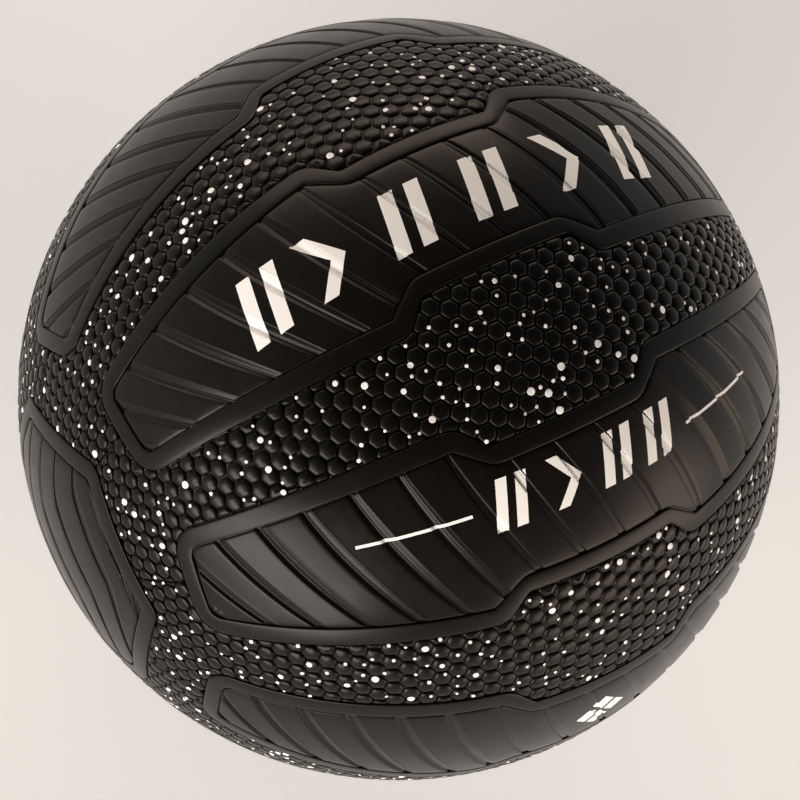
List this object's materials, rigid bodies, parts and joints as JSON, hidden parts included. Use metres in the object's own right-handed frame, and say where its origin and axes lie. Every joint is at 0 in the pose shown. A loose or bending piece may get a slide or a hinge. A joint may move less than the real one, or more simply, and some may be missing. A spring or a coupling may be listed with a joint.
{
  "type": "basketball",
  "caption": "Hollow inflatable moulded-rubber ball with long diagonal-lug tread strips, six-sided end caps and a speckled pebbled field, for bouncing, throwing and light exercise.",
  "frame": {"origin": "centre of the ball, which is the centre of its box", "axes": "+X is the axis through the two six-sided caps; +Z is the middle of the pebbled gap between tread strips 8 and 1; the valve's mouth looks along -Y"},
  "size_m": [0.241, 0.2401, 0.2402],
  "materials": {
    "tread_rubber": "satin moulded black rubber",
    "band_rubber": "smooth satin black rubber",
    "pebble_rubber": "hexagon-pebbled black rubber with white paint specks",
    "print_ink": "screen-printed white ink",
    "backing_rubber": "matt calendered rubber",
    "nylon_thread": "wound nylon thread set in latex",
    "butyl_rubber": "smooth butyl",
    "valve_rubber": "smooth moulded rubber"
  },
  "bodies": {
    "root": {"tread_strip_1": "tread_rubber", "tread_strip_2": "tread_rubber", "tread_strip_3": "tread_rubber", "tread_strip_4": "tread_rubber", "tread_strip_5": "tread_rubber", "tread_strip_6": "tread_rubber", "tread_strip_7": "tread_rubber", "tread_strip_8": "tread_rubber", "left_cap": "tread_rubber", "right_cap": "tread_rubber", "strip_band_1": "band_rubber", "strip_band_2": "band_rubber", "strip_band_3": "band_rubber", "strip_band_4": "band_rubber", "strip_band_5": "band_rubber", "strip_band_6": "band_rubber", "strip_band_7": "band_rubber", "strip_band_8": "band_rubber", "left_cap_band": "band_rubber", "right_cap_band": "band_rubber", "pebble_cover": "pebble_rubber", "backing_rubber": "backing_rubber", "thread_winding": "nylon_thread", "bladder": "butyl_rubber", "balance_patch": "butyl_rubber", "valve_body": "valve_rubber", "valve_core": "valve_rubber"}
  },
  "joints": []
}
